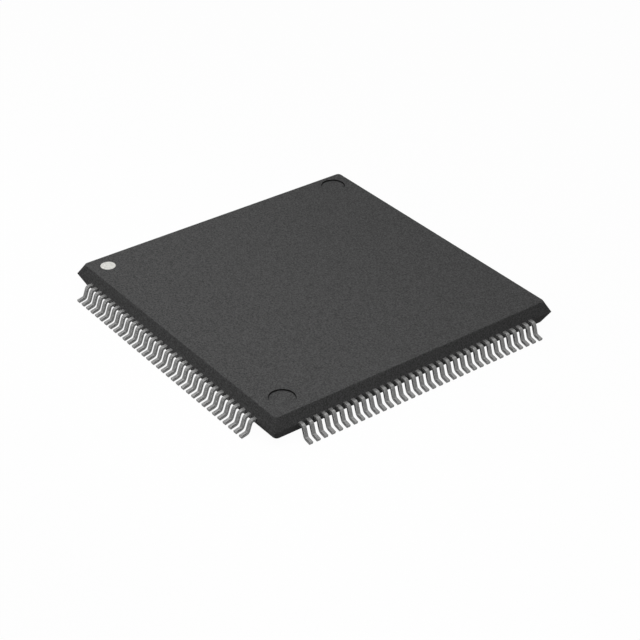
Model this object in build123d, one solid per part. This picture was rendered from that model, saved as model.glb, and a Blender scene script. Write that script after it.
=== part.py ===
"""A low-profile quad flat package: an integrated circuit moulded in black epoxy, with 34 gull-wing
leads on each of its four sides.  Millimetres, +Z up.  The origin is the middle of the package on
the seating plane, where the toes of the leads touch the circuit board."""
from build123d import *
import os
from math import cos, radians, sqrt, tan

# Moulded body, measured over its parting plane
body_width = 19.9
body_height = 1.40
standoff = 0.13
wall_draft = 25.0
corner_radius = 0.25
parting_corner_radius = 0.06
edge_radius = 0.06

# Leads, cut from sheet and formed
leads_per_side = 34
lead_pitch = 0.50
lead_width = 0.24
frame_thickness = 0.15
lead_reach = 1.00
shoulder_length = 0.35
foot_length = 0.42
foot_slope = 12.0
bend_radius = 0.10
flats_per_bend = 2

# Fingers of the lead frame, fanned in from the walls to a square ring round the paddle
finger_ring_width = 10.0
finger_ring_corner = 0.61
finger_tip_width = 0.14

# Paddle under the die, pressed down out of the frame's plane and held by a tie bar to each corner
paddle_width = 8.6
paddle_drop = 0.25
tie_bar_width = 0.30
tie_bar_ramp_start = 0.20
tie_bar_ramp_length = 0.45
tie_bar_cover = 0.40

# Silicon die on its bed of adhesive
die_width = 7.2
die_thickness = 0.30
attach_thickness = 0.03
attach_margin = 0.15

# Marks of the mould's ejector pins, and the pin-one dot, each set in from the side edge and from the
# front or back edge of the top face
ejector_diameter = 1.53
ejector_depth = 0.09
front_ejector_inset = (1.31, 1.40)
back_ejector_inset = (1.06, 1.30)
dot_diameter = 0.91
dot_recess = 0.03
dot_ink = 0.02
dot_inset = (1.03, 1.05)

# Heights and widths that follow
parting_z = standoff + body_height / 2
top_z = standoff + body_height
frame_base = parting_z - frame_thickness / 2
frame_top = parting_z + frame_thickness / 2
face_width = body_width - body_height * tan(radians(wall_draft))
finger_tip_pitch = (finger_ring_width - 2 * finger_ring_corner) / (leads_per_side - 1)
paddle_base = frame_base - paddle_drop
attach_base = paddle_base + frame_thickness
die_base = attach_base + attach_thickness


def block(width, base, height):
    """A square block about the middle of the package."""
    return extrude(Plane.XY.offset(base) * Rectangle(width, width), height)


def disc(diameter, inset, corner, base, height):
    """A round disc set in from the two edges that meet at a corner of the top face."""
    middle = [side * (face_width / 2 - gap) for side, gap in zip(corner, inset)]
    return extrude(Plane.XY.offset(base) * Pos(*middle) * Circle(diameter / 2), height)


def strip_outline(top):
    """Side view of a strip of the frame's sheet, from the line of its top surface."""
    return make_face(offset(top, frame_thickness, kind=Kind.INTERSECTION, side=Side.RIGHT))


def with_flats(line):
    """The line with each arc cut into a few flats, which keeps so many leads light."""
    points = []
    for edge in line.edges():
        steps = flats_per_bend if edge.geom_type == GeomType.CIRCLE else 1
        points += [edge @ (step / steps) for step in range(steps)]
    return Polyline(*points, line @ 1)


def gull_wing():
    """The formed part of a lead on the +X side: shoulder, leg and foot."""
    wall = (body_width / 2, frame_top)
    shoulder = (wall[0] + shoulder_length, frame_top)
    toe = (wall[0] + lead_reach, frame_thickness * cos(radians(foot_slope)))
    instep = (toe[0] - foot_length, toe[1] + foot_length * tan(radians(foot_slope)))
    radii = [bend_radius + frame_thickness, bend_radius]
    top = FilletPolyline(wall, shoulder, instep, toe, radius=radii)
    return extrude(Plane.XZ * strip_outline(with_flats(top)), lead_width / 2, both=True)


def finger(wall_y, tip_y):
    """The flat part of a lead inside the body, tapered from the wall to its tip at the ring."""
    wall_x = body_width / 2
    ring_x = finger_ring_width / 2
    plan = Polygon(
        (ring_x, tip_y - finger_tip_width / 2),
        (wall_x, wall_y - lead_width / 2),
        (wall_x, wall_y + lead_width / 2),
        (ring_x, tip_y + finger_tip_width / 2),
        align=None,
    )
    return extrude(Plane.XY.offset(frame_base) * plan, frame_thickness)


def lead_row():
    """The separate leads of the +X side, in order along +Y."""
    wing = gull_wing()
    leads = []
    for index in range(leads_per_side):
        place = index - (leads_per_side - 1) / 2
        wall_y = place * lead_pitch
        lead = Pos(0, wall_y, 0) * wing + finger(wall_y, place * finger_tip_pitch)
        leads.append(lead.solid())
    return leads


def tie_bar():
    """The bar on the +X side of the paddle, before it is turned to a corner: it climbs back to the
    frame's plane and stops just inside the body."""
    paddle_top = paddle_base + frame_thickness
    corner_x = paddle_width / sqrt(2)
    ramp_x = corner_x + tie_bar_ramp_start
    top = Polyline(
        (corner_x - tie_bar_width, paddle_top),
        (ramp_x, paddle_top),
        (ramp_x + tie_bar_ramp_length, frame_top),
        (body_width / sqrt(2) - tie_bar_cover, frame_top),
    )
    return extrude(Plane.XZ * strip_outline(top), tie_bar_width / 2, both=True)


def die_paddle():
    """The paddle and its four tie bars, one piece of the frame."""
    bar = tie_bar()
    paddle = block(paddle_width, paddle_base, frame_thickness)
    for quarter in range(4):
        paddle += Rot(0, 0, 45 + 90 * quarter) * bar
    return paddle


def moulded_envelope():
    """The epoxy block: two drafted halves that meet at the parting plane, with softened edges."""
    parting = Plane.XY.offset(parting_z) * RectangleRounded(body_width, body_width, parting_corner_radius)
    halves = []
    for face_z in (standoff, top_z):
        face = Plane.XY.offset(face_z) * RectangleRounded(face_width, face_width, corner_radius)
        halves.append(loft([parting.face(), face.face()], ruled=True))
    envelope = halves[0] + halves[1]
    levels = envelope.edges().group_by(Axis.Z)
    return fillet(levels[0] + levels[-1], edge_radius)


def ejector_recesses():
    """Shallow round marks in two opposite corners, left by pins in both halves of the mould."""
    recesses = []
    for base in (standoff, top_z - ejector_depth):
        for corner, inset in (((1, -1), front_ejector_inset), ((-1, 1), back_ejector_inset)):
            recesses.append(disc(ejector_diameter, inset, corner, base, ejector_depth))
    return recesses


sides = {"right": 0, "back": 90, "left": 180, "front": 270}
row = lead_row()
rows = {side: [Rot(0, 0, turn) * lead for lead in row] for side, turn in sides.items()}
paddle = die_paddle()
attach = block(die_width + 2 * attach_margin, attach_base, attach_thickness)
die = block(die_width, die_base, die_thickness)
dot_corner = (-1, -1)
dot_base = top_z - dot_recess
dot = disc(dot_diameter, dot_inset, dot_corner, dot_base, dot_ink)
dot_seat = disc(dot_diameter, dot_inset, dot_corner, dot_base, dot_recess)

embedded = [lead for leads in rows.values() for lead in leads] + [paddle, attach, die]
body = moulded_envelope() - embedded - ejector_recesses() - dot_seat

nodes = {"mould_body": body, "die_paddle": paddle, "die_attach": attach, "silicon_die": die, "pin_one_dot": dot}
for side, leads in rows.items():
    nodes[f"lead_row_{side}"] = Compound(leads)

os.makedirs("parts", exist_ok=True)
for name, shape in nodes.items():
    export_step(shape, f"parts/{name}.step")
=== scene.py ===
"""The looks of a low-profile quad flat package: black moulded epoxy, matt tinned gull-wing leads and
a white pin-one dot, on a white studio floor.  Sizes are millimetres times MM, +Z up, and the package
stands on its toes at z = 0."""
from math import atan2, cos, hypot, pi, radians, tan

import bmesh
import bpy
from mathutils import Matrix, Vector


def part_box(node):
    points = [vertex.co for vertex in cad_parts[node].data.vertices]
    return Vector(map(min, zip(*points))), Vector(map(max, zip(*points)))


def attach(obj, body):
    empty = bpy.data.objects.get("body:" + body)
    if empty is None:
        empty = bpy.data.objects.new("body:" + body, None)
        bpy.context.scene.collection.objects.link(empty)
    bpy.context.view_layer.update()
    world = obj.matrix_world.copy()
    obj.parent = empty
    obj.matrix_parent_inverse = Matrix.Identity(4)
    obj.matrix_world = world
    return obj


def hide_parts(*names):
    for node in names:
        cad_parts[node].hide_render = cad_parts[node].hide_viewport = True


MM = 0.001
ALONG_ROW = Vector((0, 1, 0))

# The photograph's view: where its camera stands and how it is rolled, the point that it aims at, and
# how far the picture is shifted sideways from there, as a share of its width
VIEW_AZIMUTH = radians(52.708)
VIEW_ELEVATION = radians(33.022)
VIEW_ROLL = radians(0.527)
VIEW_DISTANCE = 98.90 * MM
VIEW_TARGET = Vector((2.057, -2.274, 0.83)) * MM
VIEW_SHIFT = 0.03
FOCAL_LENGTH = 97.11
SENSOR_WIDTH = 36.0

# Leads, cut from sheet and formed
LEADS_PER_SIDE = 34
LEAD_PITCH = 0.50 * MM
LEAD_WIDTH = 0.24 * MM
SHEET = 0.15 * MM
SHOULDER = 0.35 * MM
FOOT = 0.42 * MM
FOOT_SLOPE = radians(12.0)
BEND_RADIUS = 0.10 * MM
BEND_STEPS = 3
EDGE_ROUNDING = 0.02 * MM
CREASE_ANGLE = radians(30)

# Their fingers inside the body, fanned in to a square ring
RING_WIDTH = 10.0 * MM
RING_CORNER = 0.61 * MM
TIP_WIDTH = 0.14 * MM

# Round marks left by the mould's ejector pins, by the middles of the two in the top face
PIN_MARKS = (Vector((8.31, -8.22, 0)) * MM, Vector((-8.56, 8.32, 0)) * MM)
PIN_MARK_RADIUS = 0.765 * MM
PIN_MARK_DEPTH = 0.09 * MM
# Width of the band of painted shade round the floor of each pin mark
PIN_MARK_SHADE_WIDTH = 0.045 * MM

# Grains of the finishes.  The moulded pits are at about their real size.  The others are finer on the
# real part, and are drawn as coarse as they need to show.
PIT_SIZE = 0.088 * MM
PIT_DEPTH = 0.012 * MM
TIN_CRYSTAL_SIZE = 0.07 * MM
TIN_CRYSTAL_DEPTH = 0.003 * MM
PIGMENT_SIZE = 0.12 * MM
ROLLING_STREAK_SIZE = 0.2 * MM
SILVER_FLAKE_SIZE = 0.03 * MM
CHIP_PATTERN_SIZE = 0.4 * MM

# The studio: its lamps by place, width, depth and share of the light
FLOOR_WIDTH = 4000 * MM
FLOOR_GLOW = 0.97
SKY_LEVEL = 0.15
LAMPS = {
    "front_strip": (Vector((0, -13, 28)) * MM, 70 * MM, 12 * MM, 0.82),
    "back_softbox": (Vector((0, 70, 150)) * MM, 80 * MM, 80 * MM, 0.21),
    "left_fill": (Vector((-80, 0, 60)) * MM, 60 * MM, 60 * MM, 0.04),
    "front_fill": (Vector((-68, -73, 25)) * MM, 40 * MM, 40 * MM, 0.09),
    "right_fill": (Vector((80, 30, 50)) * MM, 40 * MM, 40 * MM, 0.03),
}

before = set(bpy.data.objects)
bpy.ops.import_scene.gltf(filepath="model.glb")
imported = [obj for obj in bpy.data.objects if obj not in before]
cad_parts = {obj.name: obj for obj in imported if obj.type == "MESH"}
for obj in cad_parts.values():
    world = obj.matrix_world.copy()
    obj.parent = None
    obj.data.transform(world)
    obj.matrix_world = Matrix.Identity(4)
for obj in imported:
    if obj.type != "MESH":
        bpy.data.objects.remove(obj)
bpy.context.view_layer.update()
scene = bpy.context.scene

body_low, body_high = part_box("mould_body")
WALL = body_high.x
PARTING = (body_low.z + body_high.z) / 2
LEAD_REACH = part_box("lead_row_right")[1].x - WALL
TIP_PITCH = (RING_WIDTH - 2 * RING_CORNER) / (LEADS_PER_SIDE - 1)


def linear(code):
    """The linear colour of an sRGB hex code."""
    channels = [int(code[place:place + 2], 16) / 255 for place in (1, 3, 5)]
    return [c / 12.92 if c <= 0.04045 else ((c + 0.055) / 1.055) ** 2.4 for c in channels] + [1.0]


def add(tree, kind, inputs=None, **properties):
    """Adds a node.  Inputs gives a socket its value, or the output that is linked to it."""
    made = tree.nodes.new(kind)
    for name, value in properties.items():
        setattr(made, name, value)
    for socket, value in (inputs or {}).items():
        if isinstance(value, bpy.types.NodeSocket):
            tree.links.new(value, made.inputs[socket])
        else:
            made.inputs[socket].default_value = value
    return made


def new_material(name):
    """An empty material and its node tree."""
    material = bpy.data.materials.new(name)
    material.use_nodes = True
    material.node_tree.nodes.clear()
    return material, material.node_tree


def grain(tree, size, detail=2.0, roughness=0.5):
    """A noise fixed to the object whose specks are about the given size."""
    place = add(tree, "ShaderNodeTexCoord").outputs["Object"]
    inputs = {"Vector": place, "Scale": 1 / size, "Detail": detail, "Roughness": roughness}
    return add(tree, "ShaderNodeTexNoise", inputs).outputs["Fac"]


def shade_between(tree, mask, low, high, dark, light):
    """A colour that goes from dark to light as the mask goes from low to high."""
    share = add(tree, "ShaderNodeMapRange", {"Value": mask, "From Min": low, "From Max": high})
    inputs = {0: share.outputs["Result"], 6: linear(dark), 7: linear(light)}
    return add(tree, "ShaderNodeMix", inputs, data_type="RGBA").outputs[2]


def pitted(tree, height, depth):
    """The surface direction over a relief of the given depth."""
    return add(tree, "ShaderNodeBump", {"Height": height, "Distance": depth}).outputs["Normal"]


def finish_surface(tree, inputs):
    """Ends a material with its surface shader."""
    shader = add(tree, "ShaderNodeBsdfPrincipled", inputs)
    add(tree, "ShaderNodeOutputMaterial", {"Surface": shader.outputs["BSDF"]})


def pin_mark_painted_shade(tree):
    """A mask of painted shade in the sharp corner round the floor of each pin mark, where the recess
    lies in shadow.  It takes in the mark's wall up to just under the top face."""
    place = add(tree, "ShaderNodeTexCoord").outputs["Object"]
    height = add(tree, "ShaderNodeSeparateXYZ", {0: place}).outputs["Z"]
    plan = add(tree, "ShaderNodeVectorMath", {0: place, 1: (1, 1, 0)}, operation="MULTIPLY").outputs[0]
    near_floor = {0: height, 1: body_high.z - PIN_MARK_DEPTH, 2: 0.9 * PIN_MARK_DEPTH}
    sunk = add(tree, "ShaderNodeMath", near_floor, operation="COMPARE").outputs[0]
    mask = 0.0
    for middle in PIN_MARKS:
        reach = add(tree, "ShaderNodeVectorMath", {0: plan, 1: middle}, operation="DISTANCE")
        near_wall = {0: reach.outputs["Value"], 1: PIN_MARK_RADIUS, 2: PIN_MARK_SHADE_WIDTH}
        band = add(tree, "ShaderNodeMath", near_wall, operation="COMPARE").outputs[0]
        # Painted shade: the band near the mark's wall, below the top face
        painted_shade = add(tree, "ShaderNodeMath", {0: band, 1: sunk}, operation="MULTIPLY").outputs[0]
        mask = add(tree, "ShaderNodeMath", {0: mask, 1: painted_shade}, operation="MAXIMUM").outputs[0]
    return mask


def moulded_epoxy():
    """Silica-filled black epoxy, moulded against a spark-eroded cavity: a matt, finely pitted
    charcoal skin, with painted shade in the corners of the pin marks."""
    material, tree = new_material("moulded_black_epoxy")
    pits = grain(tree, PIT_SIZE, detail=4.0, roughness=0.7)
    skin = shade_between(tree, pits, 0.38, 0.62, "#363636", "#555555")
    # Painted shade: a near-black colour laid in the pin marks' corners, where the recess is shaded
    corner_shade = {0: pin_mark_painted_shade(tree), 6: skin, 7: linear("#161616")}
    finish_surface(tree, {
        "Base Color": add(tree, "ShaderNodeMix", corner_shade, data_type="RGBA").outputs[2],
        "Roughness": 0.9,
        "IOR": 1.5,
        "Specular IOR Level": 0.2,
        "Normal": pitted(tree, pits, PIT_DEPTH),
    })
    return material


def tin_plating():
    """Matt electroplated tin over iron-nickel alloy: an even, satin mid grey with a fine crystal grain."""
    material, tree = new_material("matt_tin_plating")
    crystals = grain(tree, TIN_CRYSTAL_SIZE)
    finish_surface(tree, {
        "Base Color": shade_between(tree, crystals, 0.3, 0.7, "#686868", "#828281"),
        "Metallic": 1.0,
        "Roughness": 0.5,
        "Normal": pitted(tree, crystals, TIN_CRYSTAL_DEPTH),
    })
    return material


def white_ink():
    """Pad-printed epoxy ink: a flat, slightly warm white film."""
    material, tree = new_material("white_marking_ink")
    pigment = grain(tree, PIGMENT_SIZE)
    finish_surface(tree, {
        "Base Color": shade_between(tree, pigment, 0.3, 0.7, "#CCCBC6", "#E8E7E2"),
        "Roughness": 0.6,
        "IOR": 1.48,
    })
    return material


def frame_alloy():
    """Bare iron-nickel alloy sheet of the lead frame, rolled: a warm grey metal."""
    material, tree = new_material("rolled_iron_nickel")
    streaks = grain(tree, ROLLING_STREAK_SIZE)
    finish_surface(tree, {
        "Base Color": shade_between(tree, streaks, 0.3, 0.7, "#BEB9B1", "#CCC7BF"),
        "Metallic": 1.0,
        "Roughness": 0.35,
    })
    return material


def silver_epoxy():
    """Silver-filled adhesive: a pale grey paste with metal flakes."""
    material, tree = new_material("silver_filled_epoxy")
    flakes = grain(tree, SILVER_FLAKE_SIZE)
    finish_surface(tree, {
        "Base Color": shade_between(tree, flakes, 0.35, 0.65, "#9A9A98", "#C9C9C6"),
        "Metallic": 0.6,
        "Roughness": 0.5,
    })
    return material


def passivated_silicon():
    """A passivated silicon chip: smooth, dark and slightly blue."""
    material, tree = new_material("passivated_silicon")
    cells = grain(tree, CHIP_PATTERN_SIZE)
    finish_surface(tree, {
        "Base Color": shade_between(tree, cells, 0.3, 0.7, "#4B4F5C", "#5C6270"),
        "Metallic": 0.5,
        "Roughness": 0.15,
    })
    return material


def dress(name, material):
    """Gives a CAD node its material."""
    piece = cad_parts[name]
    piece.data.materials.clear()
    piece.data.materials.append(material)


def end_face(made):
    """The face at the far end of what an operator made."""
    end = next(item for item in made if isinstance(item, bmesh.types.BMFace))
    end.normal_update()
    return end


def run_straight(bm, section, length):
    """Carries a section of the lead straight on, and returns its new end."""
    heading = section.normal.copy()
    end = end_face(bmesh.ops.extrude_face_region(bm, geom=[section])["geom"])
    bmesh.ops.translate(bm, verts=end.verts, vec=heading * length)
    return end


def run_round(bm, section, turn):
    """Bends the lead down by a positive turn or up by a negative one, and returns its new end."""
    inward = section.normal.cross(ALONG_ROW) * (BEND_RADIUS + SHEET / 2)
    centre = section.calc_center_median() - inward * (1 if turn > 0 else -1)
    made = bmesh.ops.spin(bm, geom=[section], cent=centre, axis=ALONG_ROW, angle=turn, steps=BEND_STEPS)
    bmesh.ops.delete(bm, geom=[section], context="FACES_ONLY")
    return end_face(made["geom_last"])


def formed_lead(bm):
    """One lead on the +X side, from the tip of its finger in the body to its toe.  The edges of its
    upper face outside the body are rounded over, as the cutting die leaves them."""
    toe_top = SHEET * cos(FOOT_SLOPE)
    drop = PARTING + SHEET / 2 - toe_top - FOOT * tan(FOOT_SLOPE)
    slant = atan2(drop, LEAD_REACH - FOOT - SHOULDER)
    leg = hypot(drop, LEAD_REACH - FOOT - SHOULDER)
    shoulder_cut = (BEND_RADIUS + SHEET) * tan(slant / 2)
    instep_cut = BEND_RADIUS * tan((slant - FOOT_SLOPE) / 2)

    bmesh.ops.create_grid(bm, x_segments=1, y_segments=1, size=0.5)
    bmesh.ops.scale(bm, verts=bm.verts, vec=(SHEET, TIP_WIDTH, 1))
    bmesh.ops.rotate(bm, verts=bm.verts, matrix=Matrix.Rotation(pi / 2, 3, "Y"))
    bmesh.ops.translate(bm, verts=bm.verts, vec=(RING_WIDTH / 2, 0, PARTING))
    end = end_face(bm.faces)
    end = run_straight(bm, end, WALL - RING_WIDTH / 2)
    bmesh.ops.scale(bm, verts=end.verts, vec=(1, LEAD_WIDTH / TIP_WIDTH, 1))
    end = run_straight(bm, end, SHOULDER - shoulder_cut)
    end = run_round(bm, end, slant)
    end = run_straight(bm, end, leg - shoulder_cut - instep_cut)
    end = run_round(bm, end, FOOT_SLOPE - slant)
    end = run_straight(bm, end, FOOT / cos(FOOT_SLOPE) - instep_cut)
    bmesh.ops.recalc_face_normals(bm, faces=bm.faces)

    rim = [edge for edge in bm.edges if is_upper_rim(edge, end)]
    bmesh.ops.bevel(bm, geom=rim, offset=EDGE_ROUNDING, segments=1, profile=0.5, affect="EDGES", material=-1)


def is_upper_rim(edge, toe):
    """True for the edges between the lead's upper face and its sides, and round the toe's end."""
    if edge in toe.edges:
        return True
    if min(vertex.co.x for vertex in edge.verts) < WALL - SHEET / 100:
        return False
    sides = [abs(face.normal.y) > 0.5 for face in edge.link_faces]
    tops = [face.normal.z > 0.01 for face in edge.link_faces]
    return any(sides) and any(tops)


def lead_row(side, quarter, material):
    """The separate leads of one side, as one piece in place of the plain row."""
    bm = bmesh.new()
    formed_lead(bm)
    template = bm.verts[:] + bm.edges[:] + bm.faces[:]
    for index in range(LEADS_PER_SIDE):
        place = index - (LEADS_PER_SIDE - 1) / 2
        made = bmesh.ops.duplicate(bm, geom=template)["geom"]
        verts = [item for item in made if isinstance(item, bmesh.types.BMVert)]
        tip = [vertex for vertex in verts if vertex.co.x < (RING_WIDTH / 2 + WALL) / 2]
        bmesh.ops.translate(bm, verts=verts, vec=ALONG_ROW * place * LEAD_PITCH)
        bmesh.ops.translate(bm, verts=tip, vec=ALONG_ROW * place * (TIP_PITCH - LEAD_PITCH))
    bmesh.ops.delete(bm, geom=template, context="VERTS")
    bmesh.ops.rotate(bm, verts=bm.verts, matrix=Matrix.Rotation(quarter * pi / 2, 3, "Z"))
    for face in bm.faces:
        face.smooth = True
    mesh = bpy.data.meshes.new(f"formed_leads_{side}")
    bm.to_mesh(mesh)
    bm.free()
    mesh.set_sharp_from_angle(angle=CREASE_ANGLE)
    mesh.materials.append(material)
    piece = bpy.data.objects.new(f"formed_leads_{side}", mesh)
    scene.collection.objects.link(piece)
    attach(piece, "root")
    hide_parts(f"lead_row_{side}")


def seen_white(tree, share):
    """The share of a surface that camera, mirrored and transmitted rays see as plain white."""
    path = add(tree, "ShaderNodeLightPath").outputs
    seen = path["Is Camera Ray"]
    for ray in ("Is Glossy Ray", "Is Transmission Ray"):
        seen = add(tree, "ShaderNodeMath", {0: seen, 1: path[ray]}, operation="MAXIMUM").outputs[0]
    return add(tree, "ShaderNodeMath", {0: seen, 1: share}, operation="MULTIPLY").outputs[0]


def studio_floor():
    """A floor of white paper that keeps a soft shadow.  What it throws back on the package is grey."""
    bm = bmesh.new()
    bmesh.ops.create_grid(bm, x_segments=1, y_segments=1, size=FLOOR_WIDTH / 2)
    mesh = bpy.data.meshes.new("studio_floor")
    bm.to_mesh(mesh)
    bm.free()
    material, tree = new_material("white_paper_sweep")
    shade = {0: seen_white(tree, 1.0), 6: linear("#404040"), 7: linear("#FAFAFA")}
    colour = add(tree, "ShaderNodeMix", shade, data_type="RGBA").outputs[2]
    lit = add(tree, "ShaderNodeBsdfDiffuse", {"Color": colour})
    white = add(tree, "ShaderNodeEmission", {"Color": linear("#FFFFFF"), "Strength": 1.0})
    shaders = {0: seen_white(tree, FLOOR_GLOW), 1: lit.outputs[0], 2: white.outputs[0]}
    mix = add(tree, "ShaderNodeMixShader", shaders)
    add(tree, "ShaderNodeOutputMaterial", {"Surface": mix.outputs[0]})
    mesh.materials.append(material)
    floor = bpy.data.objects.new("studio_floor", mesh)
    scene.collection.objects.link(floor)


def studio_light():
    """Soft lamps, the first of them close over the front of the package, and an even sky that is
    seen as white."""
    world = bpy.data.worlds.new("studio_sky")
    world.use_nodes = True
    tree = world.node_tree
    tree.nodes.clear()
    level = add(tree, "ShaderNodeMix", {0: seen_white(tree, 1.0), 2: SKY_LEVEL, 3: 1.0}, data_type="FLOAT")
    sky = add(tree, "ShaderNodeBackground", {"Color": linear("#FFFFFF"), "Strength": level.outputs[0]})
    add(tree, "ShaderNodeOutputWorld", {"Surface": sky.outputs[0]})
    scene.world = world
    for name, (place, width, depth, share) in LAMPS.items():
        softbox = bpy.data.lights.new(name, "AREA")
        softbox.shape = "RECTANGLE"
        softbox.size = width
        softbox.size_y = depth
        softbox.energy = share * pi ** 2 * place.length_squared
        lamp = bpy.data.objects.new(name, softbox)
        lamp.location = place
        lamp.rotation_euler = (-place).to_track_quat("-Z", "Y").to_euler()
        lamp.visible_camera = False
        scene.collection.objects.link(lamp)


def photograph_camera():
    """The camera at the photograph's viewing angle."""
    lens = bpy.data.cameras.new("photograph")
    lens.sensor_width = SENSOR_WIDTH
    lens.lens = FOCAL_LENGTH
    lens.shift_x = VIEW_SHIFT
    lens.clip_start = 1 * MM
    lens.clip_end = 10 * FLOOR_WIDTH
    turn = Matrix.Rotation(VIEW_AZIMUTH, 4, "Z") @ Matrix.Rotation(pi / 2 - VIEW_ELEVATION, 4, "X")
    turn = turn @ Matrix.Rotation(VIEW_ROLL, 4, "Z")
    camera = bpy.data.objects.new("photograph", lens)
    camera.matrix_world = Matrix.Translation(VIEW_TARGET) @ turn @ Matrix.Translation((0, 0, VIEW_DISTANCE))
    scene.collection.objects.link(camera)
    scene.camera = camera


plating = tin_plating()
for quarter, side in enumerate(("right", "back", "left", "front")):
    dress(f"lead_row_{side}", plating)
    lead_row(side, quarter, plating)
dress("mould_body", moulded_epoxy())
dress("pin_one_dot", white_ink())
dress("die_paddle", frame_alloy())
dress("die_attach", silver_epoxy())
dress("silicon_die", passivated_silicon())
studio_floor()
studio_light()
photograph_camera()
scene.view_settings.view_transform = "Standard"
